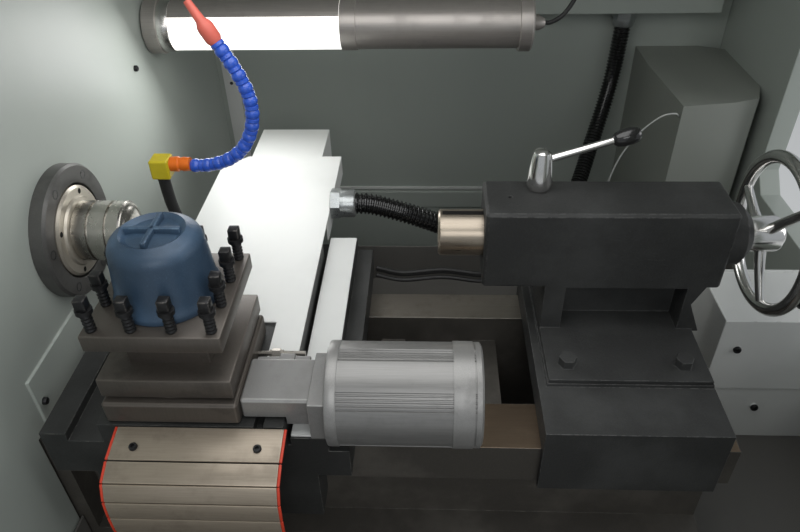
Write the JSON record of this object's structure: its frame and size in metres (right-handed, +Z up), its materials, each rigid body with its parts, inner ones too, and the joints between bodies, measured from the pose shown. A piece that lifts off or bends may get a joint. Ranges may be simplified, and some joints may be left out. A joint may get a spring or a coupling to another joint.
{
  "type": "cnc turning lathe",
  "caption": "Enclosed flat-bed turning lathe with a sliding door, an indexing tool post on a cross slide, a coolant hose, and a tailstock with quill and handwheel",
  "frame": {"origin": "on the floor, at the centre of the bounding box seen from above", "axes": "+X along the bed from the headstock to the tailstock, +Y from the door to the back, +Z up"},
  "size_m": [2.3, 1.6199, 1.72],
  "materials": {
    "panel_paint": "satin light grey-green paint",
    "white_paint": "satin off-white paint",
    "beige_paint": "satin beige machine paint",
    "dark_paint": "satin dark grey paint",
    "cast_iron": "machined and painted cast iron, dark grey",
    "ground_steel": "ground steel, slightly oily",
    "chrome": "polished chrome",
    "black_oxide": "black oxide steel",
    "aluminium": "satin aluminium",
    "blue_cap_paint": "dull blue-grey paint",
    "blue_plastic": "glossy blue plastic",
    "yellow_plastic": "yellow plastic",
    "red_plastic": "red plastic",
    "black_rubber": "matt black rubber",
    "clear_glass": "clear glass"
  },
  "bodies": {
    "frame": {"machine_base": "dark_paint", "chip_tray": "beige_paint", "bed": "cast_iron", "headstock": "beige_paint", "spindle_bearing_cover": "black_oxide", "drive_belt": "black_rubber", "spindle_motor": "dark_paint", "motor_mount": "dark_paint", "partition_panel": "panel_paint", "back_panel": "panel_paint", "right_panel": "panel_paint", "left_panel": "white_paint", "electrical_cabinet": "panel_paint", "roof_panel": "white_paint", "front_left_panel": "white_paint", "front_lower_panel": "white_paint", "front_right_panel": "white_paint", "front_header": "white_paint", "door_rail": "ground_steel", "operator_panel": "dark_paint", "control_screen": "clear_glass", "z_motor": "dark_paint", "bed_end_cover": "white_paint", "junction_box": "white_paint", "cable_beam": "panel_paint", "work_lamp_housing": "aluminium", "work_lamp_end_cap": "aluminium", "work_lamp_tube": "clear_glass", "cable_conduit": "black_rubber"},
    "spindle": {"spindle": "ground_steel", "spindle_arbor": "chrome", "spindle_pulley": "ground_steel"},
    "motor_pulley": {"motor_pulley": "ground_steel"},
    "saddle": {"saddle": "cast_iron", "saddle_way_cover": "white_paint", "cross_drive_cover": "white_paint"},
    "z_screw": {"z_screw": "ground_steel"},
    "cross_screw": {"cross_screw": "ground_steel"},
    "cross_slide": {"cross_slide": "cast_iron", "cross_slide_cover": "white_paint", "apron_slat_cover": "aluminium", "tool_post_base": "cast_iron", "tool_post_drive": "aluminium", "tool_post_motor": "aluminium", "coolant_hose": "black_rubber", "coolant_elbow": "yellow_plastic"},
    "tool_post": {"tool_post_block": "cast_iron", "tool_post_cap": "blue_cap_paint"},
    "coolant_line": {"coolant_segments": "blue_plastic", "coolant_nozzle": "red_plastic"},
    "tailstock": {"tailstock_base": "cast_iron", "tailstock_body": "cast_iron"},
    "quill": {"tailstock_quill": "ground_steel"},
    "handwheel": {"tailstock_handwheel": "chrome"},
    "lever": {"tailstock_lever": "chrome"},
    "door": {"sliding_door": "white_paint", "door_window": "clear_glass", "door_handle": "black_rubber"},
    "emergency_stop": {"emergency_stop": "red_plastic"},
    "feed_knob": {"feed_knob": "black_rubber"}
  },
  "joints": [
    {"name": "spindle_spin", "type": "hinge", "parent": "frame", "child": "spindle", "pos_m": [-0.15, -0.065, 1.08], "axis": [1, 0, 0], "continuous": true},
    {"name": "motor_pulley_spin", "type": "hinge", "parent": "frame", "child": "motor_pulley", "pos_m": [-0.72, -0.065, 0.46], "axis": [1, 0, 0], "continuous": true},
    {"name": "saddle_slide", "type": "slide", "parent": "frame", "child": "saddle", "axis": [1, 0, 0], "range_m": [-0.035, 0.2], "deforming": ["cable_conduit"]},
    {"name": "z_screw_spin", "type": "hinge", "parent": "frame", "child": "z_screw", "pos_m": [0.15, 0.085, 0.77], "axis": [1, 0, 0], "range_deg": [-7221, 1281]},
    {"name": "cross_slide_feed", "type": "slide", "parent": "saddle", "child": "cross_slide", "axis": [0, 1, 0], "range_m": [-0.12, 0.055], "deforming": ["cable_conduit"]},
    {"name": "cross_screw_spin", "type": "hinge", "parent": "saddle", "child": "cross_screw", "pos_m": [0.1035, 0.035, 0.9225], "axis": [0, 1, 0], "range_deg": [-3980, 8660]},
    {"name": "tool_post_index", "type": "hinge", "parent": "cross_slide", "child": "tool_post", "pos_m": [0.078, -0.2615, 1.08], "axis": [0, 0, 1], "continuous": true},
    {"name": "coolant_swivel", "type": "hinge", "parent": "cross_slide", "child": "coolant_line", "pos_m": [0.0455, -0.06, 1.19], "axis": [1, 0, 0], "range_deg": [-45, 45]},
    {"name": "tailstock_slide", "type": "slide", "parent": "frame", "child": "tailstock", "axis": [1, 0, 0], "range_m": [-0.05, 0.02]},
    {"name": "handwheel_turn", "type": "hinge", "parent": "tailstock", "child": "handwheel", "pos_m": [0.888, -0.065, 1.08], "axis": [-1, 0, 0], "range_deg": [-4300, 4300]},
    {"name": "quill_feed", "type": "slide", "parent": "tailstock", "child": "quill", "axis": [-1, 0, 0], "range_m": [-0.06, 0.06]},
    {"name": "quill_clamp_turn", "type": "hinge", "parent": "tailstock", "child": "lever", "pos_m": [0.552, -0.039, 1.141], "axis": [0, 0, 1], "range_deg": [-70, 30]},
    {"name": "door_slide", "type": "slide", "parent": "frame", "child": "door", "axis": [1, 0, 0], "range_m": [0, 0.98]},
    {"name": "emergency_stop_press", "type": "slide", "parent": "frame", "child": "emergency_stop", "axis": [0, 1, 0], "range_m": [0, 0.005], "stiffness_N_per_m": 600},
    {"name": "feed_knob_turn", "type": "hinge", "parent": "frame", "child": "feed_knob", "pos_m": [1.065, -0.785, 1.04], "axis": [0, 1, 0], "range_deg": [-135, 135]}
  ],
  "couplings": [
    {"joint": "motor_pulley_spin", "follows": "spindle_spin", "ratio": 1.4167},
    {"joint": "z_screw_spin", "follows": "saddle_slide", "rad_per_m": -628.32},
    {"joint": "cross_screw_spin", "follows": "cross_slide_feed", "rad_per_m": -1256.6},
    {"joint": "quill_feed", "follows": "handwheel_turn", "m_per_rad": 0.00079577}
  ]
}
